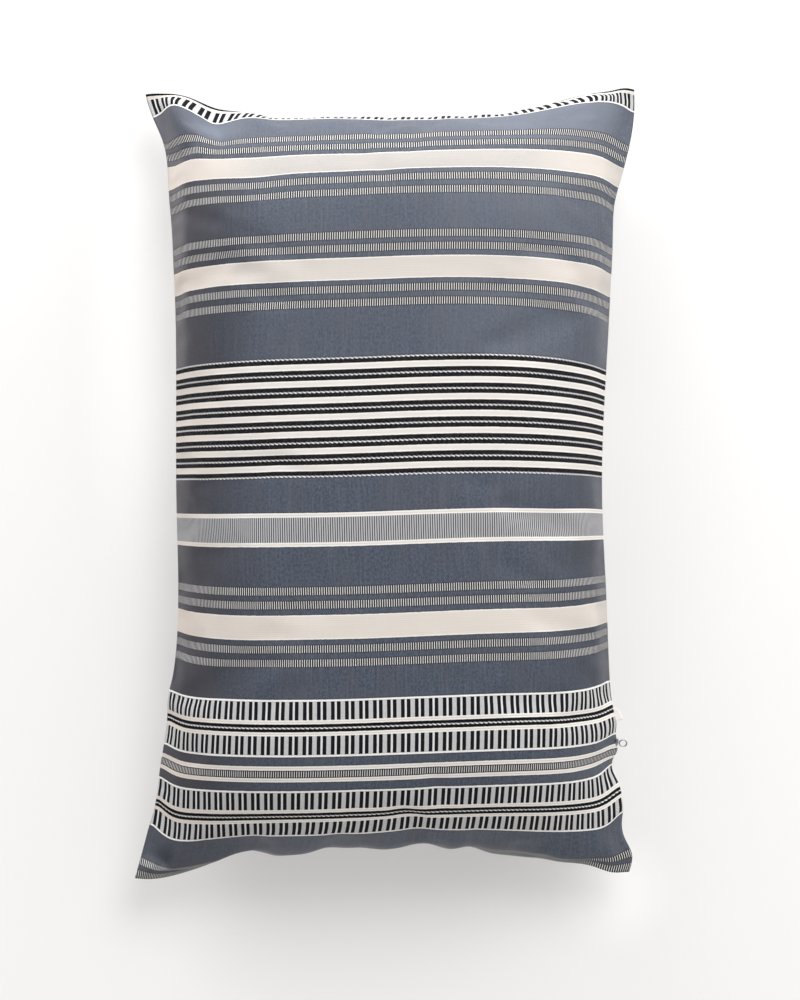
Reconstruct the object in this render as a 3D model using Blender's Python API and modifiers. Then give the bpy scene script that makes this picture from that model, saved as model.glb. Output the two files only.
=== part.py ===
"""A filled cushion cover of striped woven cotton, lying on its back.

Two flat panels are sewn together round the edge, turned and filled. The front panel faces up (+Z),
the cushion's length runs along Y and its width along X, and the origin is the middle of the patch
that it rests on. A bare tag and the slider and pull of a side zip show at its right seam.
"""
import math

import bmesh
import bpy
import numpy as np
from mathutils import Matrix, Vector

MM = 0.001

# The panels as they were cut, seam to seam, in metres
PANEL_WIDTH = 0.406
PANEL_LENGTH = 0.658
HALF_WIDTH = PANEL_WIDTH / 2
HALF_LENGTH = PANEL_LENGTH / 2

# The filling: the seam's height over the floor, the front's rise above it, the back's drop below it
# before the floor flattens it, and how far in from each seam the panel goes on rising
SEAM_HEIGHT = 0.068
CROWN = 0.073
DOME = 0.16
BELLY = 0.086
FLOOR_EASE = 0.006
SIDE_REACH = 0.159
TOP_REACH = 0.149
BOTTOM_REACH = 0.145
EAR_FILL = 0.002
EAR_FILL_REACH = 0.030
EAR_REACH = 0.170
WEFT_SKEW = 0.0395
CENTRING = (0.0041, 0.0006)

# The four ears sink from the seam's height by this much, in metres
EAR_DROPS = (
    # side, end, drop
    (-1, 1, 0.024),
    (1, 1, 0.018),
    (-1, -1, 0.020),
    (1, -1, 0.018),
)

# How the cover lies, row by row up its length: how far the cloth at its middle, its left seam and its
# right seam has moved out (in X) and up (in Y) from where an even filling would hold it, in mm
LAY = (
    # share of half the length, middle right, left out, right out, middle up, left up, right up
    (-1.00, -10, 4, -10, 3, 12, -3),
    (-0.87, -2, -1, -7, -2, 6, -2),
    (-0.70, 2, 5, -4, -2, 8, -1),
    (-0.40, 2, -3, -3, -1, 11, 2),
    (0.00, -1, -2, -2, 1, 8, -6),
    (0.40, 1, -1, 2, 4, 4, -13),
    (0.70, 2, 1, 1, -1, 8, -5),
    (0.87, 1, -9, 0, 0, 3, -9),
    (1.00, 4, 2, -3, -3, -8, -25),
)

# Soft folds and dents, each a round push on the cloth about one place on the flat panel, in mm
FOLDS = (
    # name, across, along, reach across, reach along, push right, push up, rise
    ("top left valley", -128, 318, 22, 38, -4, -2, -6),
    ("top left spine", -168, 305, 22, 40, -9, 5, 5),
    ("top right spine", 150, 312, 35, 35, 16, 8, 4),
    ("top edge", 50, 329, 80, 30, 0, -4, 0),
    ("bottom left scallop", -110, -329, 45, 30, -7, 2, 2),
    ("bottom left dip", -60, -329, 40, 30, -7, 1, -2),
    ("bottom edge peak", 36, -329, 24, 34, 3, 4, 4),
    ("bottom edge dip", 105, -329, 40, 32, 3, -3, -2),
    ("bottom right tuck", 165, -329, 25, 30, 4, 9, 4),
    ("notch under the zip", 203, -228, 30, 18, -2, 3, -2),
    ("seam at the zip", 203, -210, 30, 18, 5, -1, 2),
    ("bottom left tip", -203, -329, 30, 30, 8, 0, 3),
    ("bottom right tip", 203, -329, 28, 28, 10, 0, -4),
    ("top left tip", -203, 329, 28, 28, 0, 7, 0),
    ("top right tip", 203, 329, 28, 28, -5, 11, 2),
)

# The mesh: cells of the cage across and along a panel, closer together near the seams
CAGE_ACROSS = 18
CAGE_ALONG = 30
EDGE_SPACING = 0.5
ROUNDING_LEVELS = 1
RUN_STEPS = 24

# The tag and the zip at the right seam, by their place up the seam, in metres
SEAM_STEP = 0.006
PIECE_GAP = 0.0005
TAG_PLACE = -0.195
TAG_LENGTH = 0.012
TAG_PROUD = 0.0062
TAG_THICKNESS = 0.0016
TAG_TAPER = 0.35
TAG_SLANT = 0.30
TAG_SLIDE = 0.0015
ZIP_PLACE = -0.218
SLIDER_SIZE = (0.0020, 0.0058, 0.0028)
PULL_SIZE = (0.0072, 0.0068)
PULL_WIRE = 0.0012
PULL_MEAN = 0.0062
PULL_GAP = 0.0004
PULL_DROOP = math.radians(4)

# Colours of the pieces, with roughness and metallic value
FINISHES = {
    "striped_cloth": ((0.118, 0.130, 0.155, 1.0), 0.90, 0.0),
    "tag_cloth": ((0.760, 0.640, 0.560, 1.0), 0.88, 0.0),
    "zip_metal": ((0.450, 0.450, 0.460, 1.0), 0.35, 1.0),
}


def rise_share(distance, reach, half):
    """Share of the full rise at a distance in from a seam: steep at the seam, a low dome past the reach."""
    t = np.clip(distance / reach, 0.0, 1.0)
    inward = distance / half
    return (1 - DOME) * (2 * t - 2 * t**3 + t**4) + DOME * (2 * inward - inward**2)


def rise_slope(distance, reach, half):
    """Slope of rise_share along the cloth."""
    t = np.clip(distance / reach, 0.0, 1.0)
    return (1 - DOME) * (2 - 6 * t**2 + 4 * t**3) / reach + DOME * 2 * (1 - distance / half) / half


def soft_step(t):
    """0 to 1 with level ends."""
    t = np.clip(t, 0.0, 1.0)
    return t * t * (3 - 2 * t)


def table_curve(places, column):
    """A smooth curve through one column of LAY, in metres."""
    stations = np.array([row[0] for row in LAY])
    values = np.array([row[column] for row in LAY]) * MM
    slopes = np.gradient(values, stations)
    i = np.clip(np.searchsorted(stations, places) - 1, 0, len(stations) - 2)
    gap = stations[i + 1] - stations[i]
    t = (places - stations[i]) / gap
    start = (2 * t**3 - 3 * t**2 + 1) * values[i] + (t**3 - 2 * t**2 + t) * gap * slopes[i]
    end = (3 * t**2 - 2 * t**3) * values[i + 1] + (t**3 - t**2) * gap * slopes[i + 1]
    return start + end


def end_reach(along):
    """The reach of the end that a point up the panel belongs to."""
    return np.where(along > 0, TOP_REACH, BOTTOM_REACH)


def side_share(across):
    """Share of the rise that the side seams leave, across the panel."""
    return rise_share(HALF_WIDTH - np.abs(across), SIDE_REACH, HALF_WIDTH)


def end_share(along):
    """Share of the rise that the end seams leave, up the panel."""
    return rise_share(HALF_LENGTH - np.abs(along), end_reach(along), HALF_LENGTH)


def seam_level(across, along):
    """Height of the cover's middle layer: the seam's height, lower at the four ears."""
    level = np.full(across.shape, SEAM_HEIGHT)
    for side, end, drop in EAR_DROPS:
        from_corner = np.hypot(HALF_WIDTH - side * across, HALF_LENGTH - end * along)
        level -= drop * (1 - soft_step(from_corner / EAR_REACH))
    return level


def thread_runs(across, along):
    """Level run of the weft and the warp from the panel's middle, shortened where they climb."""
    weft = np.zeros(across.shape)
    warp = np.zeros(across.shape)
    for step in range(RUN_STEPS):
        part = (step + 0.5) / RUN_STEPS
        from_side = HALF_WIDTH - np.abs(across * part)
        climb = CROWN * rise_slope(from_side, SIDE_REACH, HALF_WIDTH) * end_share(along)
        weft += np.sqrt(1 - climb**2)
        from_end = HALF_LENGTH - np.abs(along * part)
        climb = CROWN * rise_slope(from_end, end_reach(along), HALF_LENGTH) * side_share(across)
        warp += np.sqrt(1 - climb**2)
    return across * weft / RUN_STEPS, along * warp / RUN_STEPS


def lie(across, along):
    """Where points of the flat panel lie: x, y, the front's height and the back's height."""
    x, y = thread_runs(across, along)
    share = side_share(across) * end_share(along)
    side = across / HALF_WIDTH
    up = along / HALF_LENGTH
    leftward = np.clip(-side, 0, 1) ** 2
    rightward = np.clip(side, 0, 1) ** 2
    x += table_curve(up, 1) - leftward * table_curve(up, 2) + rightward * table_curve(up, 3)
    y += table_curve(up, 4) + leftward * table_curve(up, 5) + rightward * table_curve(up, 6)
    y += WEFT_SKEW * across
    level = seam_level(across, along)
    for _, at_across, at_along, wide, long, right, upward, rise in FOLDS:
        near = np.exp(-(((across / MM - at_across) / wide) ** 2) - ((along / MM - at_along) / long) ** 2)
        x += right * MM * near
        y += upward * MM * near
        level += rise * MM * near
    from_side = soft_step((HALF_WIDTH - np.abs(across)) / EAR_FILL_REACH)
    from_end = soft_step((HALF_LENGTH - np.abs(along)) / EAR_FILL_REACH)
    fill = EAR_FILL * from_side * from_end
    front = level + CROWN * share + fill
    back = on_floor(level - BELLY * share - fill)
    return x + CENTRING[0], y + CENTRING[1], front, back


def on_floor(height):
    """The back's height, eased onto the floor and flat where it rests."""
    eased = (height + FLOOR_EASE) ** 2 / (4 * FLOOR_EASE)
    return np.where(height > FLOOR_EASE, height, np.where(height < -FLOOR_EASE, 0.0, eased))


def finish(name):
    """A material of the part."""
    colour, roughness, metallic = FINISHES[name]
    material = bpy.data.materials.new(name)
    material.use_nodes = True
    shader = material.node_tree.nodes["Principled BSDF"]
    shader.inputs["Base Color"].default_value = colour
    shader.inputs["Roughness"].default_value = roughness
    shader.inputs["Metallic"].default_value = metallic
    material.diffuse_color = colour
    return material


def add_object(name, mesh, finish_name, collection):
    thing = bpy.data.objects.new(name, mesh)
    mesh.materials.append(finish(finish_name))
    collection.objects.link(thing)
    return thing


def panel_places(grid_verts):
    """Flat coordinates of a grid's points, drawn towards the seams so that the cells get smaller there."""
    grid = np.array([vert.co[:2] for vert in grid_verts])
    grid = grid / np.abs(grid).max(axis=0)
    spaced = grid * (1 + EDGE_SPACING / 2) - grid**3 * EDGE_SPACING / 2
    return spaced[:, 0] * HALF_WIDTH, spaced[:, 1] * HALF_LENGTH


def make_cushion(collection):
    """The filled cover: the front and the back panel, joined at a sharp seam and closed."""
    cage = bmesh.new()
    front = bmesh.ops.create_grid(cage, x_segments=CAGE_ACROSS, y_segments=CAGE_ALONG, size=0.5)["verts"]
    crease = cage.edges.layers.float.new("crease_edge")
    for edge in cage.edges:
        edge[crease] = float(edge.is_boundary)
    copied = bmesh.ops.duplicate(cage, geom=cage.verts[:] + cage.edges[:] + cage.faces[:])["geom"]
    back = [part for part in copied if isinstance(part, bmesh.types.BMVert)]
    back_faces = [part for part in copied if isinstance(part, bmesh.types.BMFace)]
    bmesh.ops.reverse_faces(cage, faces=back_faces)
    for verts, height in ((front, 2), (back, 3)):
        places = np.transpose(lie(*panel_places(verts)))
        for vert, place in zip(verts, places):
            vert.co = (place[0], place[1], place[height])
    seam_verts = [vert for vert in cage.verts if vert.is_boundary]
    bmesh.ops.remove_doubles(cage, verts=seam_verts, dist=0.00001)
    bmesh.ops.recalc_face_normals(cage, faces=cage.faces[:])
    mesh = bpy.data.meshes.new("cushion")
    cage.to_mesh(mesh)
    cage.free()
    mesh.shade_smooth()
    cushion = add_object("cushion", mesh, "striped_cloth", collection)
    rounding = cushion.modifiers.new("rounding", "SUBSURF")
    rounding.levels = ROUNDING_LEVELS
    rounding.render_levels = ROUNDING_LEVELS
    return cushion


def seam_frame(along):
    """A frame at a place on the right seam: X points out of the seam and Y up along it."""
    across = np.full(3, HALF_WIDTH)
    places = along + np.array([-1.0, 0.0, 1.0]) * SEAM_STEP
    x, y, front, _ = lie(across, places)
    points = [Vector(point) for point in zip(x, y, front)]
    upward = (points[2] - points[0]).normalized()
    outward = upward.cross(Vector((0, 0, 1))).normalized()
    turn = Matrix((outward, upward, outward.cross(upward))).transposed().to_4x4()
    return Matrix.Translation(points[1]) @ turn


def make_tag(collection):
    """A bare tag of folded tape, caught in the side seam: wider at its lower end, with soft edges."""
    tape = bmesh.new()
    bmesh.ops.create_cube(tape, size=1.0)
    for vert in tape.verts:
        out = vert.co.x + 0.5
        up = vert.co.y
        length = TAG_LENGTH * (1 - TAG_TAPER * out)
        vert.co.x = PIECE_GAP + out * TAG_PROUD * (1 - TAG_SLANT * (up + 0.5))
        vert.co.y = up * length - TAG_SLIDE * out
        vert.co.z *= TAG_THICKNESS
    mesh = bpy.data.meshes.new("side_tag")
    tape.to_mesh(mesh)
    tape.free()
    tag = add_object("side_tag", mesh, "tag_cloth", collection)
    tag.matrix_world = seam_frame(TAG_PLACE)
    edges = tag.modifiers.new("soft edges", "BEVEL")
    edges.width = TAG_THICKNESS / 3
    edges.segments = 2
    return tag


def make_slider(collection):
    """The zip's slider: a flat body against the seam, with the bail that holds the pull."""
    body = bmesh.new()
    bmesh.ops.create_cube(body, size=1.0)
    for vert in body.verts:
        vert.co.x = PIECE_GAP + (vert.co.x + 0.5) * SLIDER_SIZE[0]
        vert.co.y *= SLIDER_SIZE[1]
        vert.co.z *= SLIDER_SIZE[2]
    mesh = bpy.data.meshes.new("zip_slider")
    body.to_mesh(mesh)
    body.free()
    slider = add_object("zip_slider", mesh, "zip_metal", collection)
    slider.matrix_world = seam_frame(ZIP_PLACE)
    edges = slider.modifiers.new("rounded edges", "BEVEL")
    edges.width = SLIDER_SIZE[2] / 5
    edges.segments = 2
    return slider


def make_pull(collection):
    """The zip's pull: a small oval loop of wire that hangs outward from the slider."""
    long, wide = PULL_SIZE
    start = PIECE_GAP + SLIDER_SIZE[0] + PULL_GAP + PULL_WIRE / 2
    bpy.ops.mesh.primitive_torus_add(
        major_segments=28,
        minor_segments=10,
        major_radius=0.5,
        minor_radius=PULL_WIRE / 2 / PULL_MEAN,
        location=(0, 0, 0),
    )
    pull = bpy.context.object
    pull.name = "zip_pull"
    mesh = pull.data
    mesh.name = "zip_pull"
    for vert in mesh.vertices:
        vert.co.x = start + (long - PULL_WIRE) * (vert.co.x + 0.5)
        vert.co.y *= wide - PULL_WIRE
        vert.co.z *= PULL_MEAN
    mesh.materials.append(finish("zip_metal"))
    mesh.shade_smooth()
    for holder in list(pull.users_collection):
        holder.objects.unlink(pull)
    collection.objects.link(pull)
    pull.matrix_world = seam_frame(ZIP_PLACE) @ Matrix.Rotation(PULL_DROOP, 4, "Y")
    return pull


def main():
    for thing in list(bpy.data.objects):
        bpy.data.objects.remove(thing, do_unlink=True)
    collection = bpy.data.collections.new("cushion_cover")
    bpy.context.scene.collection.children.link(collection)
    make_cushion(collection)
    make_tag(collection)
    make_slider(collection)
    make_pull(collection)


main()
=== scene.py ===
import math

import bpy
import numpy as np
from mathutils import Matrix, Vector


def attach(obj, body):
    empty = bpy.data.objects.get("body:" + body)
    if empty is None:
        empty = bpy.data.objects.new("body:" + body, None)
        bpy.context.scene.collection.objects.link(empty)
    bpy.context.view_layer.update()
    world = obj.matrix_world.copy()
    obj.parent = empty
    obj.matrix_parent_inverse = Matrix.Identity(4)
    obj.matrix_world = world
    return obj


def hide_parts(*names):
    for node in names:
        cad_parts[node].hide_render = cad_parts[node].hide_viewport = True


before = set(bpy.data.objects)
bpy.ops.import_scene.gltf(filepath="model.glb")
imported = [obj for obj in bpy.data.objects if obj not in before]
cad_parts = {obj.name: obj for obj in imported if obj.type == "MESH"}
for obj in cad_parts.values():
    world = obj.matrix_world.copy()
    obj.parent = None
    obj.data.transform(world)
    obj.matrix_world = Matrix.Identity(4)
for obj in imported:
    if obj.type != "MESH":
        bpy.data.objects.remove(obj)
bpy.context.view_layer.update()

# The camera
# It stands 2 m over the cushion and looks almost straight down, leaning 2.4 degrees towards the
# cushion's foot, through a lens that takes in the 0.64 m long cover with floor all round it.
CAMERA_AIM = Vector((0.0126, -0.0188, 0.14))
CAMERA_DISTANCE = 2.0
CAMERA_LEAN = math.radians(2.4)
CAMERA_LENS = 92.4
CAMERA_SENSOR = 36

bpy.ops.object.camera_add(rotation=(CAMERA_LEAN, 0, 0))
camera = bpy.context.object
camera.name = "camera"
towards_camera = Vector((0, -math.sin(CAMERA_LEAN), math.cos(CAMERA_LEAN)))
camera.location = CAMERA_AIM + CAMERA_DISTANCE * towards_camera
camera.data.lens = CAMERA_LENS
camera.data.sensor_width = CAMERA_SENSOR
bpy.context.scene.camera = camera


# Nodes for the materials
# Each helper adds its nodes to a tree and hands back the output, to be plugged in further on.
def plug(socket, value):
    """Give a socket a number, a colour or the output of another node."""
    if isinstance(value, bpy.types.NodeSocket):
        socket.id_data.links.new(value, socket)
    else:
        socket.default_value = value


def calc(tree, operation, *values):
    """A Math node, given numbers or outputs. Its own output comes back."""
    made = tree.nodes.new("ShaderNodeMath")
    made.operation = operation
    for socket, value in zip(made.inputs, values):
        plug(socket, value)
    return made.outputs[0]


def mix(tree, share, first, second):
    """A Mix node for colours: first where the share is 0, second where it is 1."""
    made = tree.nodes.new("ShaderNodeMix")
    made.data_type = "RGBA"
    plug(made.inputs[0], share)
    plug(made.inputs[6], first)
    plug(made.inputs[7], second)
    return made.outputs[2]


def cloudy(tree, place, grain, detail=3.0, rough=0.55):
    """A Noise node on a place in metres, 0 to 1, whose clouds are about grain in size, in metres."""
    scaled = tree.nodes.new("ShaderNodeVectorMath")
    scaled.operation = "MULTIPLY"
    plug(scaled.inputs[0], place)
    scaled.inputs[1].default_value = [1 / size for size in grain]
    noise = tree.nodes.new("ShaderNodeTexNoise")
    noise.inputs["Scale"].default_value = 1
    noise.inputs["Detail"].default_value = detail
    noise.inputs["Roughness"].default_value = rough
    plug(noise.inputs["Vector"], scaled.outputs[0])
    return noise.outputs["Fac"]


def spread(tree, value, start, end, at_start=0.0, at_end=1.0):
    """A Map Range node with soft ends: at_start up to the start, at_end from the end on."""
    made = tree.nodes.new("ShaderNodeMapRange")
    made.interpolation_type = "SMOOTHSTEP"
    plug(made.inputs["Value"], value)
    made.inputs["From Min"].default_value = start
    made.inputs["From Max"].default_value = end
    made.inputs["To Min"].default_value = at_start
    made.inputs["To Max"].default_value = at_end
    return made.outputs["Result"]


def oval(tree, across, along, place, reach, most):
    """A soft oval patch: most at its place, 0 from its reach on, each given across and along."""
    out_across = calc(tree, "MULTIPLY_ADD", across, 1 / reach[0], -place[0] / reach[0])
    out_along = calc(tree, "MULTIPLY_ADD", along, 1 / reach[1], -place[1] / reach[1])
    out_squared = calc(tree, "MULTIPLY", out_along, out_along)
    out_squared = calc(tree, "MULTIPLY_ADD", out_across, out_across, out_squared)
    return spread(tree, calc(tree, "SQRT", out_squared), 1, 0, 0, most)


def new_material(name):
    """A material with its tree and its Principled shader."""
    material = bpy.data.materials.new(name)
    material.use_nodes = True
    return material, material.node_tree, material.node_tree.nodes["Principled BSDF"]


def relief(tree, shader, height, depth):
    """A Bump node from a height of 0 to 1, depth metres deep."""
    bump = tree.nodes.new("ShaderNodeBump")
    bump.inputs["Strength"].default_value = 1
    bump.inputs["Distance"].default_value = depth
    plug(bump.inputs["Height"], height)
    plug(shader.inputs["Normal"], bump.outputs["Normal"])


def object_place(tree):
    """Object coordinates, in metres."""
    return tree.nodes.new("ShaderNodeTexCoord").outputs["Object"]


# The light
# A room with white walls and a darker ceiling, cool windows low past the cushion's head and to its
# right, a soft lamp high on the head's side and a weak warm one at the foot, where the shadow falls.
ROOM_WHITE = (1.0, 0.995, 0.985, 1)
ROOM_LIGHT = 1.06
NEAR_WALL = (0.25, 0.97, 0)
WALL_FADE = (-0.8, 0.6)  # from the far wall, past the foot, to the near one, past the head
FAR_WALL = 0.38
CEILING_FADE = (0.60, 0.92)  # from the walls up to the ceiling
CEILING = 0.42
LIGHTS = (  # name, direction from the cushion, watts, colour
    ("head_window", Vector((-0.400, 0.870, 0.270)), 36, (0.96, 0.985, 1.0)),
    ("right_window", Vector((0.714, 0.620, 0.322)), 14, (1.0, 0.99, 0.975)),
    ("ceiling_lamp", Vector((0.260, 0.520, 0.814)), 32, (0.985, 0.99, 1.0)),
    ("foot_lamp", Vector((-0.100, -0.960, 0.260)), 7, (1.0, 0.94, 0.88)),
)
LIGHT_SIZE = 1.3
LIGHT_DISTANCE = 2.5

bpy.context.scene.view_settings.view_transform = "Standard"
room = bpy.data.worlds.new("white studio")
room.use_nodes = True
background = room.node_tree.nodes["Background"]
background.inputs["Color"].default_value = ROOM_WHITE
bpy.context.scene.world = room


def room_level(towards, fade, at_start, at_end):
    """A level that changes round the room, with how far a direction points towards another."""
    facing = room.node_tree.nodes.new("ShaderNodeVectorMath")
    facing.operation = "DOT_PRODUCT"
    plug(facing.inputs[0], room.node_tree.nodes.new("ShaderNodeTexCoord").outputs["Generated"])
    facing.inputs[1].default_value = towards
    return spread(room.node_tree, facing.outputs["Value"], *fade, at_start, at_end)


walls = room_level(NEAR_WALL, WALL_FADE, ROOM_LIGHT * FAR_WALL, ROOM_LIGHT)
ceiling = room_level((0, 0, 1), CEILING_FADE, 1.0, CEILING)
plug(background.inputs["Strength"], calc(room.node_tree, "MULTIPLY", walls, ceiling))

for name, direction, watts, colour in LIGHTS:
    bpy.ops.object.light_add(type="AREA", location=direction * LIGHT_DISTANCE)
    light = bpy.context.object
    light.name = name
    light.rotation_euler = direction.to_track_quat("Z", "Y").to_euler()
    light.data.size = LIGHT_SIZE
    light.data.energy = watts
    light.data.color = colour

# The floor
# Smooth boards painted white, with a faint unevenness of the paint and no seams in view.
# The paint glows evenly, and more in two pools of painted light: left of the cover and off its bottom right
# ear.
FLOOR_SIZE = 12
FLOOR_WHITE = (0.60, 0.60, 0.605, 1)
FLOOR_WHITE_WORN = (0.58, 0.58, 0.58, 1)
FLOOR_ROUGHNESS = 0.75
FLOOR_CLOUDS = (0.35, 0.35, 0.35)
FLOOR_GRAIN = (0.004, 0.004, 0.004)
FLOOR_GRAIN_DEPTH = 0.00005
FLOOR_GLOW = 0.325
FLOOR_GLOW_COLOUR = (1.0, 0.97, 0.94, 1)
FLOOR_LIGHT_POOLS = (  # place, reach, extra glow
    ((-0.19, 0.12), (0.075, 0.30), 0.13),
    ((0.190, -0.335), (0.060, 0.060), 0.12),
)

bpy.ops.mesh.primitive_plane_add(size=FLOOR_SIZE, location=(0, 0, 0))
floor = bpy.context.object
floor.name = "floor"
white_paint, tree, shader = new_material("white floor paint")
paint_clouds = cloudy(tree, object_place(tree), FLOOR_CLOUDS)
plug(shader.inputs["Base Color"], mix(tree, paint_clouds, FLOOR_WHITE, FLOOR_WHITE_WORN))
shader.inputs["Roughness"].default_value = FLOOR_ROUGHNESS
shader.inputs["Emission Color"].default_value = FLOOR_GLOW_COLOUR
split = tree.nodes.new("ShaderNodeSeparateXYZ")
plug(split.inputs[0], object_place(tree))
floor_light = FLOOR_GLOW
for place, reach, extra in FLOOR_LIGHT_POOLS:
    light_pool = oval(tree, split.outputs["X"], split.outputs["Y"], place, reach, extra)
    floor_light = calc(tree, "ADD", light_pool, floor_light)
plug(shader.inputs["Emission Strength"], floor_light)
relief(tree, shader, cloudy(tree, object_place(tree), FLOOR_GRAIN), FLOOR_GRAIN_DEPTH)
floor.data.materials.append(white_paint)

# The filled cover
# Two panels of hand-woven striped cotton, sewn face to face round the edge, turned and filled with
# a fibre pad. The filling draws the sides in between the ears, and the back lies flat on the floor.
MM = 0.001
PANEL_WIDTH = 0.406
PANEL_LENGTH = 0.658
HALF_WIDTH = PANEL_WIDTH / 2
HALF_LENGTH = PANEL_LENGTH / 2
SEAM_HEIGHT = 0.068
CROWN = 0.073  # rise of the front's middle above the seam
BELLY = 0.086  # fall of the back's middle below it
DOME = 0.16  # share of them that is a low dome over the whole panel
FLOOR_EASE = 0.006
SIDE_REACH = 0.159  # how far in from a seam the cloth climbs steeply
TOP_REACH = 0.149
BOTTOM_REACH = 0.145
EAR_FILL = 0.002
EAR_FILL_REACH = 0.030
EAR_REACH = 0.170
WEFT_SKEW = 0.0395
CENTRING = (0.0041, 0.0006)
EAR_DROPS = (  # side, end, drop
    (-1, 1, 0.024),
    (1, 1, 0.018),
    (-1, -1, 0.020),
    (1, -1, 0.018),
)
LAY = (  # share of half the length, and mm: middle right, left out, right out, middle up, left up, right up
    (-1.00, -10, 3, -9, 3, 12, -3),
    (-0.87, -2, -3.5, -7.5, -2, 6, -2),
    (-0.70, 2, 4, -4, -2, 8, -1),
    (-0.40, 2, -3, -2.4, -1, 11, 2),
    (0.00, -1, -3, -1.7, 1, 8, -6),
    (0.40, 1, -2, 0.5, 4, 4, -13),
    (0.70, 2, -1.6, 0.8, -1, 8, -5),
    (0.87, 1, -10, -1, 0, 3, -9),
    (1.00, 4, 1.5, -3, -3, -8, -25),
)
FOLDS = (  # place across and along, reach across and along, push right and up, rise: all in mm
    # the top left ear: a valley, the spine beside it and the seam below it
    (-143, 318, 18, 34, -4, -4, -6),
    (-144, 300, 13, 28, 0, -3, -4),
    (-171, 307, 19, 33, -9, 6, 5),
    (-152, 284, 14, 12, 0, 1.5, 0),
    (-65, 312, 55, 11, 0, 2.2, 0),
    (-203, 292, 16, 34, 0, 4, 0),
    (-205, 266, 13, 20, 0, 2.5, 0),
    # the top right ear: its spine and the seam below it
    (150, 318, 35, 24, 16, 8, 4),
    (148, 310, 30, 13, 0, -1.9, 0),
    (203, 308, 17, 13, 0, 2.4, 0),
    (203, 275, 25, 25, 0, -2.5, 0),
    # the edge at the head
    (50, 329, 80, 30, 0, -4, 0),
    (-75, 325, 45, 30, 0, -2.2, 0),
    (-70, 331, 40, 10, 0, -1.5, 0),
    (5, 307, 55, 14, 0, -1.8, 0),
    (15, 331, 45, 10, 0, -1.4, 0),
    (-148, 331, 20, 12, 0, 5, 0),
    # the cloth creeps up and down a little as it is filled
    (0, 275, 120, 16, 0, -1.5, 0),
    (-110, 240, 25, 25, 0, -1.6, 0),
    (0, 208, 65, 36, 0, 1.6, 0),
    (0, 262, 90, 12, 0, -1.2, 0),
    (80, 235, 90, 10, 0, 1, 0),
    (0, 200, 150, 18, 0, 0.7, 0),
    (0, -125, 210, 22, 0, -0.7, 0),
    (0, -190, 170, 30, 0, 0.8, 0),
    (0, 95, 120, 42, 0, -0.9, 0),
    (-140, -150, 55, 130, 0, -1.2, 0),
    (138, -170, 45, 150, 0, -1.8, 0),
    # scallops along the foot
    (-110, -329, 45, 30, -7, 2.5, 2),
    (-86, -329, 13, 26, 0, 1.5, 0),
    (-60, -329, 40, 30, -7, 1, -2),
    (-45, -329, 12, 26, 0, 0.8, 0),
    (-16, -329, 16, 26, 0, 1.8, 0),
    (-98, -329, 11, 26, 0, 2.4, 0),
    (-52, -329, 13, 26, 0, -3.4, 0),
    (-110, -329, 12, 26, 0, 3.2, 0),
    (-72, -329, 12, 26, 0, -3.2, 0),
    (-36, -329, 14, 26, 0, 4, 0),
    (18, -329, 10, 24, 0, 1.5, 0),
    (31, -329, 10, 24, 0, 2.4, 0),
    (36, -329, 24, 34, 3, 4, 4),
    (58, -329, 10, 26, 0, -2.2, 0),
    (71, -329, 10, 26, 0, 2.2, 0),
    (96, -329, 12, 26, 0, -2, 0),
    (134, -329, 14, 26, 0, 3, 0),
    (188, -329, 10, 20, 0, -2, 0),
    (105, -329, 32, 32, 3, 1, -2),
    (165, -329, 25, 30, 4, 8, 4),
    (158, -310, 30, 14, 0, -3.5, 0),
    # the bottom right ear is pinched
    (203, -296, 18, 10, -3, 0, 0),
    (203, -318, 18, 10, 3, 0, 0),
    (190, -306, 8, 16, 0, 0, 3),
    # the side seams are drawn up near the foot
    (205, -262, 12, 34, 0, 4, 0),
    (-205, -275, 12, 30, 0, 3, 0),
    # crease in the bottom left ear
    (-182, -306, 8, 8, 0, 0, -7),
    (-192, -319, 9, 8, 0, 0, 6),
    # the side seams wander, most of all by the tag and the zip
    (205, 228, 14, 22, -2.2, 0, 0),
    (205, -224, 11, 7, 3.3, -1, 0),
    (205, -230, 10, 5, 2.5, 0, 0),
    (205, -231, 15, 8, 0, -4, 0),
    (205, -268, 14, 14, 2.2, 0, 0),
    (205, -216, 11, 5, -1.2, 0, 0),
    (205, -287, 10, 12, 1.6, 5, 0),
    (-205, -287, 10, 12, 0, 3.2, 0),
    (-205, -178, 14, 12, -2, 0, 0),
    (205, -248, 12, 7, -2.8, 0, 0),
    # notch under the zip
    (203, -228, 30, 18, -2, 3, -2),
    (203, -210, 30, 18, 5, -1, 2),
    # tips of the four ears
    (-203, -329, 30, 30, 10, 0, 3),
    (203, -329, 28, 28, 9, 3, -4),
    (-203, 329, 28, 28, 0, 7, 0),
    (203, 329, 28, 28, -5, 11, 2),
)
HEAD_ROLL = 0.0040  # the cloth rolls outwards beside the seams at both ends
FOOT_ROLL = 0.0053
ROLL_PLACE = 0.019
ROLL_REACH = 0.013
SEAM_DRAW = 0.0112  # the side seams are shorter than the cloth beside them
SEAM_DRAW_REACH = 0.017
RUN_STEPS = 24
CELLS_ACROSS = 80
CELLS_ALONG = 128
EDGE_SPACING = 0.35  # how much closer the cells lie at the seams
WELD = 0.00001
RESTS_BELOW = 0.0002
UNDER_BY = 0.0001  # a corner of the back lies at least this far under the front
SIM_FRAMES = 20
SIM_PRESSURE = 4
LOOSENESS = 0.012
EVEN_POWERS = (7, 9)  # powers across and up the panel that make up the even part of the swelling
SWELL_KEPT = 0.15
MOST_MOVE = 0.0018
SEAM_CREASE = 0.8


def rise_share(distance, reach, half):
    """Share of the full rise at a distance in from a seam: steep at the seam, a low dome past the reach."""
    t = np.clip(distance / reach, 0.0, 1.0)
    inward = distance / half
    return (1 - DOME) * (2 * t - 2 * t**3 + t**4) + DOME * (2 * inward - inward**2)


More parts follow.
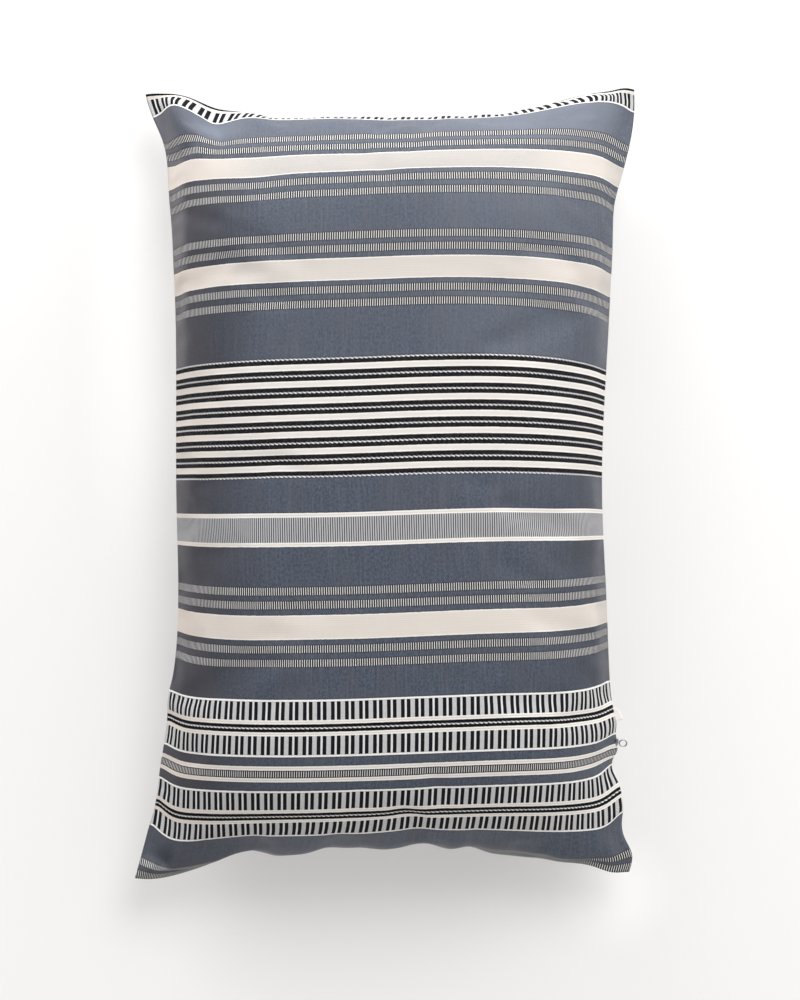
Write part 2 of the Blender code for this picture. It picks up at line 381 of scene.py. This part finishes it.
def rise_slope(distance, reach, half):
    """Slope of rise_share along the cloth."""
    t = np.clip(distance / reach, 0.0, 1.0)
    return (1 - DOME) * (2 - 6 * t**2 + 4 * t**3) / reach + DOME * 2 * (1 - distance / half) / half


def soft_step(t):
    """0 to 1 with level ends."""
    t = np.clip(t, 0.0, 1.0)
    return t * t * (3 - 2 * t)


def lay_curve(places, column):
    """A smooth curve through one column of LAY, in metres."""
    stations = np.array([row[0] for row in LAY])
    values = np.array([row[column] for row in LAY]) * MM
    slopes = np.gradient(values, stations)
    i = np.clip(np.searchsorted(stations, places) - 1, 0, len(stations) - 2)
    gap = stations[i + 1] - stations[i]
    t = (places - stations[i]) / gap
    start = (2 * t**3 - 3 * t**2 + 1) * values[i] + (t**3 - 2 * t**2 + t) * gap * slopes[i]
    end = (3 * t**2 - 2 * t**3) * values[i + 1] + (t**3 - t**2) * gap * slopes[i + 1]
    return start + end


def end_reach(along):
    """The reach of the end that a point up the panel belongs to."""
    return np.where(along > 0, TOP_REACH, BOTTOM_REACH)


def side_share(across):
    """Share of the rise that the side seams leave, across the panel."""
    return rise_share(HALF_WIDTH - np.abs(across), SIDE_REACH, HALF_WIDTH)


def end_share(along):
    """Share of the rise that the end seams leave, up the panel."""
    return rise_share(HALF_LENGTH - np.abs(along), end_reach(along), HALF_LENGTH)


def thread_runs(across, along):
    """Level run of the weft and the warp from the panel's middle, shortened where they climb."""
    weft = np.zeros(across.shape)
    warp = np.zeros(across.shape)
    for step in range(RUN_STEPS):
        part = (step + 0.5) / RUN_STEPS
        from_side = HALF_WIDTH - np.abs(across * part)
        climb = CROWN * rise_slope(from_side, SIDE_REACH, HALF_WIDTH) * end_share(along)
        weft += np.sqrt(1 - climb**2)
        from_end = HALF_LENGTH - np.abs(along * part)
        climb = CROWN * rise_slope(from_end, end_reach(along), HALF_LENGTH) * side_share(across)
        warp += np.sqrt(1 - climb**2)
    return across * weft / RUN_STEPS, along * warp / RUN_STEPS


def lie(across, along):
    """Where points of the flat panel lie: x, y, the front's height and the back's height."""
    x, y = thread_runs(across, along)
    share = side_share(across) * end_share(along)
    side = across / HALF_WIDTH
    up = along / HALF_LENGTH
    leftward = np.clip(-side, 0, 1) ** 2
    rightward = np.clip(side, 0, 1) ** 2
    x += lay_curve(up, 1) - leftward * lay_curve(up, 2) + rightward * lay_curve(up, 3)
    y += lay_curve(up, 4) + leftward * lay_curve(up, 5) + rightward * lay_curve(up, 6)
    y += WEFT_SKEW * across
    drawn = np.exp(-(((HALF_WIDTH - np.abs(across)) / SEAM_DRAW_REACH) ** 2))
    y -= SEAM_DRAW * up * np.abs(up) ** 1.2 * (1 - up**12) * drawn
    from_roll = HALF_LENGTH - np.abs(along) - ROLL_PLACE
    roll = np.exp(-((from_roll / ROLL_REACH) ** 2)) * (1 - np.abs(side) ** 10)
    y += np.where(along > 0, HEAD_ROLL, -FOOT_ROLL) * roll
    level = np.full(across.shape, SEAM_HEIGHT)
    for ear_side, ear_end, drop in EAR_DROPS:
        from_corner = np.hypot(HALF_WIDTH - ear_side * across, HALF_LENGTH - ear_end * along)
        level -= drop * (1 - soft_step(from_corner / EAR_REACH))
    for at_across, at_along, wide, long, right, upward, rise in FOLDS:
        out_across = (across / MM - at_across) / wide
        out_along = (along / MM - at_along) / long
        near = np.exp(-(out_across**2) - out_along**2)
        x += right * MM * near
        y += upward * MM * near
        level += rise * MM * near
    from_side = soft_step((HALF_WIDTH - np.abs(across)) / EAR_FILL_REACH)
    from_end = soft_step((HALF_LENGTH - np.abs(along)) / EAR_FILL_REACH)
    fill = EAR_FILL * from_side * from_end
    front = level + CROWN * share + fill
    back = on_floor(level - BELLY * share - fill)
    return x + CENTRING[0], y + CENTRING[1], front, back


def on_floor(height):
    """The back's height, eased onto the floor and flat where it rests."""
    eased = (height + FLOOR_EASE) ** 2 / (4 * FLOOR_EASE)
    return np.where(height > FLOOR_EASE, height, np.where(height < -FLOOR_EASE, 0.0, eased))


def corners(mesh):
    """The mesh's corners as rows of x, y and z."""
    flat = np.empty(len(mesh.vertices) * 3)
    mesh.vertices.foreach_get("co", flat)
    return flat.reshape(-1, 3)


def put_corners(mesh, places):
    """Move the mesh's corners to these places."""
    mesh.vertices.foreach_set("co", np.ascontiguousarray(places, dtype=np.float32).ravel())
    mesh.update()


def panel_places(mesh):
    """Each corner's place on the flat panel, read from the cloth's own UV map."""
    loops = np.empty(len(mesh.loops), dtype=int)
    mesh.loops.foreach_get("vertex_index", loops)
    flat = np.empty(len(mesh.loops) * 2)
    mesh.uv_layers["cloth"].data.foreach_get("uv", flat)
    found = np.zeros((len(mesh.vertices), 2))
    found[loops] = flat.reshape(-1, 2)
    return found[:, 0], found[:, 1]


bpy.ops.object.select_all(action="DESELECT")
bpy.ops.mesh.primitive_grid_add(x_subdivisions=CELLS_ACROSS, y_subdivisions=CELLS_ALONG, size=2)
cover = bpy.context.object
cover.name = "filled_cover"
bpy.ops.object.mode_set(mode="EDIT")
bpy.ops.mesh.select_all(action="SELECT")
bpy.ops.mesh.duplicate()
bpy.ops.mesh.flip_normals()
bpy.ops.object.mode_set(mode="OBJECT")
mesh = cover.data
grid = corners(mesh)[:, :2]
grid = grid * (1 + EDGE_SPACING / 2) - grid**3 * EDGE_SPACING / 2
across, along = grid[:, 0] * HALF_WIDTH, grid[:, 1] * HALF_LENGTH
while mesh.uv_layers:
    mesh.uv_layers.remove(mesh.uv_layers[0])
cloth_map = mesh.uv_layers.new(name="cloth")
loops = np.empty(len(mesh.loops), dtype=int)
mesh.loops.foreach_get("vertex_index", loops)
cloth_map.data.foreach_set("uv", np.stack([across[loops], along[loops]], axis=1).ravel())
is_back = np.arange(len(mesh.vertices)) >= len(mesh.vertices) // 2
x, y, front, back = lie(across, along)
put_corners(mesh, np.stack([x, y, np.where(is_back, back, front)], axis=1))
bpy.ops.object.mode_set(mode="EDIT")
bpy.ops.mesh.select_all(action="SELECT")
bpy.ops.mesh.remove_doubles(threshold=WELD)
bpy.ops.mesh.select_all(action="DESELECT")
bpy.ops.object.mode_set(mode="OBJECT")

start = corners(mesh)
across, along = panel_places(mesh)
at_side = np.isclose(np.abs(across), HALF_WIDTH, atol=WELD)
at_end = np.isclose(np.abs(along), HALF_LENGTH, atol=WELD)
at_seam = at_side | at_end
resting = start[:, 2] < RESTS_BELOW
under = start[:, 2] < lie(across, along)[2] - UNDER_BY

# the filling settles: pressure swells the cloth, which is a little longer than the shape it starts in
held = cover.vertex_groups.new(name="held")
held.add([int(i) for i in np.flatnonzero(at_seam | resting)], 1.0, "REPLACE")
cloth = cover.modifiers.new("settle", "CLOTH")
cloth.settings.quality = 6
cloth.settings.mass = 0.2
cloth.settings.tension_stiffness = 30
cloth.settings.compression_stiffness = 30
cloth.settings.shear_stiffness = 4
cloth.settings.bending_stiffness = 1.5
cloth.settings.shrink_min = -LOOSENESS
cloth.settings.use_pressure = True
cloth.settings.uniform_pressure_force = SIM_PRESSURE
cloth.settings.vertex_group_mass = "held"
cloth.settings.effector_weights.gravity = 0
cloth.collision_settings.use_collision = False
cloth.collision_settings.use_self_collision = False
for step in range(1, SIM_FRAMES + 1):
    bpy.context.scene.frame_set(step)
bpy.ops.object.modifier_apply(modifier=cloth.name)
moved = corners(mesh) - start
# the start shape is a filled one already, so most of the even part of the swelling is taken off
for panel in (~under, under):
    side = across[panel] / HALF_WIDTH
    up = along[panel] / HALF_LENGTH
    even = [side**i * up**j for i in range(EVEN_POWERS[0]) for j in range(EVEN_POWERS[1])]
    even = np.stack(even, axis=1)
    moved[panel] -= (1 - SWELL_KEPT) * even @ np.linalg.lstsq(even, moved[panel], rcond=None)[0]
moved[at_seam | resting] = 0
length = np.linalg.norm(moved, axis=1)
moved *= (MOST_MOVE * np.tanh(length / MOST_MOVE) / np.maximum(length, 1e-9))[:, None]
put_corners(mesh, start + moved)
bpy.context.scene.frame_set(1)
cover.vertex_groups.clear()

crease = mesh.attributes.new("crease_edge", "FLOAT", "EDGE")
edge_ends = np.empty(len(mesh.edges) * 2, dtype=int)
mesh.edges.foreach_get("vertices", edge_ends)
edge_ends = edge_ends.reshape(-1, 2)
crease.data.foreach_set("value", np.where(at_seam[edge_ends].all(axis=1), SEAM_CREASE, 0.0))
rounding = cover.modifiers.new("rounding", "SUBSURF")
rounding.levels = rounding.render_levels = 1
rounding.uv_smooth = "NONE"
bpy.ops.object.modifier_apply(modifier=rounding.name)
bpy.ops.object.shade_smooth()
places = corners(mesh)
places[:, 2] = np.maximum(places[:, 2], 0.0)
put_corners(mesh, places)

# The cloth: stripes run from seam to seam across the cover, listed from its head to its foot
STRIPES_START = 328.8
CREAM_STRIPE = (
    ("dotted", 6.25), ("slate", 4.2), ("dotted", 6.2), ("slate", 4.6), ("wide cream", 18.45),
    ("slate", 4.35), ("dotted", 6.2), ("slate", 4.9), ("dotted", 6.2),
)
CORD_BAND = (("black", 3.1), ("cream", 4.85), ("black", 3.1), ("twist", 1.8)) * 7
BLOCK_STRIPE = (
    ("white", 1.9), ("blocks", 14.2), ("cream", 3.1), ("deep black", 2.3), ("twist", 1.4),
    ("deep black", 2.3), ("cream", 3.0), ("blocks", 14.2), ("white", 1.9),
)
STRIPES = (
    ("deep black", 2.1), ("cream", 3.1), ("blocks", 14.2), ("white", 1.8), ("slate", 25.4),
    *CREAM_STRIPE, ("slate", 30.7), *CREAM_STRIPE, ("slate", 38.5),
    ("slate above twist", 1.8), *CORD_BAND[:-1], ("slate below twist", 1.8), ("slate", 27.0),
    ("cream", 3.4), ("fine", 19.1), ("cream", 3.3), ("slate", 30.8),
    *CREAM_STRIPE, ("slate", 25.4), *BLOCK_STRIPE, ("slate", 6.9),
    ("cream", 3.3), ("edged dots", 6.0), ("cream", 3.2), ("slate", 6.9), *BLOCK_STRIPE,
    ("slate", 25.4), ("dotted", 6.2), ("slate", 4.2), ("dotted", 8.0),
)
KINDS = (
    "slate", "cream", "white", "black", "deep black", "dotted", "edged dots", "fine", "blocks", "twist",
    "slate above twist", "slate below twist", "wide cream",
)
THREAD = 0.904  # mm from one warp thread to the next
PICK = 1.78  # mm from one beaded pick to the next
CREAM_PICK = 1.62
BLOCK_PLACE = 4.85  # mm across, the middle of a wide light block
BLOCK_REPEAT = 6  # threads from there to the middle of a narrow light block
WIDE_BLOCK = (1.98, 1.80)  # threads from its middle to where it starts and is full
NARROW_BLOCK = (5.02, 5.20)
CORD_REPEAT = 4.04  # threads from one dash of the cord to the next
CORD_SLOPE = 0.95
CORD_EDGE = (0.74, 0.28)  # mm from the dash's middle line
TWILL_SLOPE = (0.45, 0.5)  # up the panel and across
EDGE_WANDER = 0.5  # mm
THREAD_SHIVER = 0.36  # threads
FOOT_LEAN = (-0.030, 3.0)  # mm for each mm across, and mm
HEAD_ROW = 309  # mm up the panel, the foot of the blocks at the head
LAST_ROW = 277.7  # mm down it, the middle of the last blocks
# where painted light lies on the fold in the top left ear, in mm
HEAD_FOLD_LIGHT_PLACE = (-144, 297)
HEAD_FOLD_LIGHT_REACH = (34, 22)
CLOTH_SPECULAR = 0.18
GLOSSY_ROUGHNESS = 0.32
MATT_EXTRA = 0.66  # roughness on top of the glossy yarn's
CLOTH_RELIEF = 0.00018


def tint(red, green, blue):
    """A colour as it reads on a screen, 0 to 255, made linear."""
    parts = [value / 255 for value in (red, green, blue)]
    return [p / 12.92 if p <= 0.04045 else ((p + 0.055) / 1.055) ** 2.4 for p in parts] + [1.0]


striped, tree, shader = new_material("striped woven cotton")
flat_place = tree.nodes.new("ShaderNodeUVMap")
flat_place.uv_map = "cloth"
flat_place = flat_place.outputs["UV"]
split = tree.nodes.new("ShaderNodeSeparateXYZ")
plug(split.inputs[0], flat_place)
across_mm = calc(tree, "MULTIPLY", split.outputs["X"], 1 / MM)
along_mm = calc(tree, "MULTIPLY", split.outputs["Y"], 1 / MM)


def by_across(start, end, at_start=0.0, at_end=1.0):
    """A share that changes between two places across the panel, in mm from its middle."""
    return spread(tree, across_mm, start, end, at_start, at_end)


def by_along(start, end, at_start=0.0, at_end=1.0):
    """A share that changes between two places up the panel, in mm from its middle."""
    return spread(tree, along_mm, start, end, at_start, at_end)


def product(share, *factors):
    """Shares and numbers, multiplied in turn."""
    for factor in factors:
        share = calc(tree, "MULTIPLY", share, factor)
    return share


def ridges(value, every):
    """0 at each multiple of a distance, rising to 1 half-way between."""
    return calc(tree, "ABSOLUTE", calc(tree, "SINE", product(value, math.pi / every)))


# the picks aren't quite straight, so a stripe's edge wanders by a fraction of a thread
wander = cloudy(tree, flat_place, (0.0022, 0.004, 1), 1.0)
wander = calc(tree, "MULTIPLY_ADD", wander, EDGE_WANDER, -EDGE_WANDER / 2)
edge_along = calc(tree, "ADD", along_mm, wander)

# which stripe a place is in, its middle and half its width: one step at each edge, going up the cloth
rows = []
edge = STRIPES_START
for kind, width in STRIPES:
    rows.append((edge, KINDS.index(kind), edge - width / 2, width / 2))
    edge -= width
rows.reverse()
_, code, middle, half_stripe = rows[0]
for (edge, kind, at, half), (_, kind_above, at_above, half_above) in zip(rows, rows[1:]):
    passed = calc(tree, "GREATER_THAN", edge_along, edge)
    code = calc(tree, "MULTIPLY_ADD", passed, kind_above - kind, code)
    middle = calc(tree, "MULTIPLY_ADD", passed, at_above - at, middle)
    half_stripe = calc(tree, "MULTIPLY_ADD", passed, half_above - half, half_stripe)
from_middle = calc(tree, "SUBTRACT", edge_along, middle)
from_edge = calc(tree, "SUBTRACT", half_stripe, calc(tree, "ABSOLUTE", from_middle))


def in_stripe(kind):
    """1 in stripes of this kind, 0 elsewhere."""
    return calc(tree, "COMPARE", code, KINDS.index(kind), 0.1)


# the warp threads are drawn askew near the foot, in two steps
lean = calc(tree, "ADD", by_along(-236, -242, 0, 0.5), by_along(-261, -269, 0, 0.5))
lean_by = product(lean, calc(tree, "MULTIPLY_ADD", across_mm, *FOOT_LEAN))
# the blocks in the ears at the head lean apart, and the last row of blocks is upright on the left
ear_lean = calc(tree, "ADD", by_across(-60, -110, 0, 0.26), by_across(70, 125, 0, -0.34))
in_ear = spread(tree, calc(tree, "ABSOLUTE", across_mm), 192, 165)
up_row = calc(tree, "MAXIMUM", calc(tree, "SUBTRACT", along_mm, HEAD_ROW), 0)
lean_by = calc(tree, "ADD", lean_by, product(ear_lean, in_ear, up_row))
last_lean = product(by_across(-20, -110), by_along(-262, -270, 0, -0.13))
lean_by = calc(tree, "ADD", lean_by, product(last_lean, calc(tree, "ADD", along_mm, LAST_ROW)))

# the warp threads, numbered from the middle of a wide block, and the beads that the picks make
threads = calc(tree, "SUBTRACT", calc(tree, "SUBTRACT", across_mm, lean_by), BLOCK_PLACE)
threads = calc(tree, "DIVIDE", threads, THREAD)
shiver = cloudy(tree, flat_place, (0.0035, 0.0012, 1), 2.0)
shiver = calc(tree, "MULTIPLY_ADD", shiver, THREAD_SHIVER, -THREAD_SHIVER / 2)
threads = calc(tree, "ADD", threads, shiver)
thread_side = calc(tree, "PINGPONG", calc(tree, "ADD", threads, 0.5), 1)
light_thread = spread(tree, thread_side, 0.45, 0.17)
block_side = calc(tree, "PINGPONG", threads, BLOCK_REPEAT)
light_block = spread(tree, block_side, *WIDE_BLOCK)
light_block = calc(tree, "ADD", light_block, spread(tree, block_side, *NARROW_BLOCK))
rib = ridges(threads, 1)
over_or_under = product(calc(tree, "GREATER_THAN", thread_side, 0.5), 0.5)
picks = calc(tree, "MULTIPLY_ADD", shiver, 1.2, over_or_under)
picks = calc(tree, "MULTIPLY_ADD", along_mm, 1 / PICK, picks)
bead = ridges(picks, 1)

# slate yarn: soft mottling, a wandering hue, faint streaks along the warp and a few pale slubs
mottle = cloudy(tree, flat_place, (0.0017, 0.0024, 1), 3.0, 0.7)
streaks = cloudy(tree, flat_place, (0.0020, 0.040, 1), 3.0, 0.65)
dye = cloudy(tree, flat_place, (0.030, 0.050, 1), 2.0)
slubs = cloudy(tree, flat_place, (0.0026, 0.0014, 1), 0.0)
slate = mix(tree, spread(tree, mottle, 0.30, 0.72), tint(62, 69, 81), tint(87, 94, 107))
slate = mix(tree, product(spread(tree, dye, 0.40, 0.70), 0.45), slate, tint(82, 82, 89))
slate = mix(tree, product(spread(tree, streaks, 0.40, 0.75), 0.38), slate, tint(100, 106, 119))
slate = mix(tree, product(spread(tree, slubs, 0.84, 0.88), 0.3), slate, tint(150, 155, 165))

# painted light and shade on the slate, and darker stripe edges: a colour, and the shares whose product says
# how much of it
upper_highlight = calc(tree, "ADD", by_across(-135, -90, 0, 0.10), by_across(10, 60, 0, 0.15))
for colour, *shares in (
    # the left side in painted shade, and painted sheen on its rim
    (tint(56, 52, 58), by_across(-80, -180), by_along(300, 230, 0.3, 0.8), by_along(-300, -260, 0.5, 1)),
    (tint(106, 102, 107), by_across(-176, -191), by_along(-110, 215, 0.1, 0.9)),
    # painted highlights on the upper half, at the foot, at the head and on the top right ear
    (tint(118, 123, 135), upper_highlight, by_across(180, 120, 0.2, 1), by_along(-60, 120), by_along(265, 235)),
    (tint(118, 120, 130), by_across(40, -30, 0, 0.16), by_along(-275, -290)),
    (tint(118, 123, 135), by_along(255, 285), by_across(0, 120, 0.30, 0.75), by_across(195, 140, 0.3, 1)),
    (tint(140, 146, 160), by_across(125, 155, 0, 0.36), by_along(272, 288), by_across(195, 168, 0.2, 1)),
    # painted light on the fold in the top left ear
    (tint(120, 126, 139), oval(tree, across_mm, along_mm, HEAD_FOLD_LIGHT_PLACE, HEAD_FOLD_LIGHT_REACH, 0.8)),
    # the right side in painted shade, and painted sheen on its rim
    (tint(44, 47, 56), by_across(105, 175), by_along(60, -40, 0, 0.5), by_along(-230, -190)),
    (tint(118, 117, 122), by_across(178, 193, 0, 0.38), by_along(205, 150), by_along(-230, -190, 0.3, 1)),
    # darker along the edges of the stripes
    (tint(40, 42, 50), spread(tree, from_edge, 1.0, 0.1, 0, 0.5)),
):
    slate = mix(tree, product(*shares), slate, colour)

# cream yarn: thick picks lie side by side, and painted warm shade turns it to peach towards the left side
pick_lines = cloudy(tree, flat_place, (0.060, 0.0010, 1), 2.0, 0.6)
pick_tone = spread(tree, ridges(from_middle, CREAM_PICK), 0.0, 0.7)
pick_tone = calc(tree, "MULTIPLY_ADD", pick_tone, 0.5, product(pick_lines, 0.5))
edge_pick = product(spread(tree, from_edge, 1.3, 0.7), 0.6)
left_shade = product(by_across(-110, -195), 0.8)
cream = mix(tree, pick_tone, tint(208, 202, 197), tint(230, 225, 219))
cream = mix(tree, edge_pick, cream, tint(246, 242, 236))
cream = mix(tree, left_shade, cream, tint(216, 204, 195))

# the wide cream stripes are a shade darker; painted shade darkens them further towards the head and the
# right side
head_shade = product(by_along(100, 245), by_across(172, 95, 0.25, 1), by_across(-150, -80, 0.5, 1))
shaded_head_cream = mix(tree, pick_tone, tint(176, 171, 167), tint(192, 187, 183))
right_shade = product(by_across(125, 165, 0, 0.22), by_along(245, 200))
right_shade = calc(tree, "ADD", right_shade, by_across(178, 192, 0, 0.40))
wide_cream = mix(tree, pick_tone, tint(208, 200, 192), tint(224, 216, 207))
wide_cream = mix(tree, head_shade, wide_cream, shaded_head_cream)
wide_cream = mix(tree, edge_pick, wide_cream, tint(242, 238, 233))
wide_cream = mix(tree, left_shade, wide_cream, tint(216, 204, 195))
wide_cream = mix(tree, right_shade, wide_cream, tint(188, 183, 178))

# white yarn: one row of beads beside the blocks
white = mix(tree, bead, tint(222, 220, 217), tint(246, 244, 241))
white = mix(tree, spread(tree, from_edge, 0.30, 0.05), white, tint(60, 62, 70))

# black yarn: a twill whose sloping marks show at both edges
twill = calc(tree, "MULTIPLY_ADD", along_mm, TWILL_SLOPE[0], product(threads, TWILL_SLOPE[1]))
twill = spread(tree, calc(tree, "FRACT", twill), 0.50, 0.95)
twill = product(twill, spread(tree, mottle, 0.35, 0.65), 0.9)
black = mix(tree, twill, tint(12, 11, 14), tint(74, 70, 73))
deep_black = mix(tree, mottle, tint(4, 4, 5), tint(24, 23, 26))

# warp-striped bands: single light threads, or blocks of two and four beaded ones
dotted = mix(tree, light_thread, tint(36, 38, 46), tint(224, 221, 218))
dotted = mix(tree, spread(tree, from_edge, 0.35, 0.05), dotted, tint(52, 54, 62))
edged = mix(tree, spread(tree, from_edge, 0.9, 0.4), dotted, tint(30, 29, 34))
wide_thread = spread(tree, thread_side, 0.66, 0.42)
fine = mix(tree, wide_thread, tint(66, 69, 77), tint(188, 187, 188))
in_narrow = product(calc(tree, "GREATER_THAN", block_side, 4), 0.5)
light_bar = mix(tree, spread(tree, bead, 0.1, 0.85), tint(150, 149, 152), tint(214, 213, 212))
light_bar = mix(tree, in_narrow, light_bar, tint(240, 239, 238))
dark_bar = mix(tree, spread(tree, bead, 0.2, 0.9), tint(4, 4, 6), tint(30, 30, 37))
blocks = mix(tree, light_block, dark_bar, light_bar)

# the twisted cord: sloping dashes that run into each other, on black or on the edge of the slate
ply = calc(tree, "SUBTRACT", calc(tree, "FRACT", calc(tree, "DIVIDE", threads, CORD_REPEAT)), 0.5)
off_cord = calc(tree, "ABSOLUTE", calc(tree, "MULTIPLY_ADD", ply, CORD_SLOPE, from_middle))
on_cord = spread(tree, off_cord, *CORD_EDGE)
cord = mix(tree, spread(tree, ply, -0.55, 0.25), tint(146, 145, 150), tint(234, 233, 232))
slate_over = mix(tree, calc(tree, "GREATER_THAN", from_middle, 0), black, slate)
slate_under = mix(tree, calc(tree, "LESS_THAN", from_middle, 0), black, slate)

colour = slate
for kind, yarn in (
    ("cream", cream),
    ("white", white),
    ("black", black),
    ("deep black", deep_black),
    ("dotted", dotted),
    ("edged dots", edged),
    ("wide cream", wide_cream),
    ("fine", fine),
    ("blocks", blocks),
    ("twist", mix(tree, on_cord, black, cord)),
    ("slate above twist", mix(tree, on_cord, slate_over, cord)),
    ("slate below twist", mix(tree, on_cord, slate_under, cord)),
):
    colour = mix(tree, in_stripe(kind), colour, yarn)
plug(shader.inputs["Base Color"], colour)

# the black yarn and the wide cream stripes are matt; the rest has the faint gloss of combed cotton
depth = tree.nodes.new("ShaderNodeRGBToBW")
plug(depth.inputs[0], colour)
matt = calc(tree, "MAXIMUM", spread(tree, depth.outputs[0], 0.045, 0.012), in_stripe("wide cream"))
roughness = calc(tree, "MULTIPLY_ADD", matt, MATT_EXTRA, GLOSSY_ROUGHNESS)
plug(shader.inputs["Roughness"], roughness)
shader.inputs["Specular IOR Level"].default_value = CLOTH_SPECULAR
relief(tree, shader, product(rib, calc(tree, "MULTIPLY_ADD", bead, 0.4, 0.6)), CLOTH_RELIEF)
cover.data.materials.clear()
cover.data.materials.append(striped)
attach(cover, "root")
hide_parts("cushion")

# The side tag
# A short piece of bare cotton tape, folded in two and caught in the right-hand seam.
TAPE_WEAVE = (0.0006, 0.0004, 0.0006)
TAPE_ROUGHNESS = 0.88
TAPE_RELIEF = 0.0001

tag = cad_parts["side_tag"]
tape, tree, shader = new_material("bare cotton tape")
weave = cloudy(tree, object_place(tree), TAPE_WEAVE, 2.0)
plug(shader.inputs["Base Color"], mix(tree, weave, tint(236, 226, 221), tint(250, 244, 241)))
shader.inputs["Roughness"].default_value = TAPE_ROUGHNESS
relief(tree, shader, weave, TAPE_RELIEF)
tag.data.materials.clear()
tag.data.materials.append(tape)

# The zip's slider and pull
# Satin nickel, at the lower end of the hidden zip in the right-hand seam.
NICKEL_SCUFFS = (0.0008, 0.0008, 0.0008)
NICKEL_ROUGHNESS = 0.32
NICKEL_RELIEF = 0.00003

nickel, tree, shader = new_material("satin nickel")
scuffs = cloudy(tree, object_place(tree), NICKEL_SCUFFS)
plug(shader.inputs["Base Color"], mix(tree, scuffs, tint(150, 150, 152), tint(196, 196, 198)))
shader.inputs["Metallic"].default_value = 1.0
shader.inputs["Roughness"].default_value = NICKEL_ROUGHNESS
relief(tree, shader, scuffs, NICKEL_RELIEF)
for piece in ("zip_slider", "zip_pull"):
    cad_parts[piece].data.materials.clear()
    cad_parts[piece].data.materials.append(nickel)
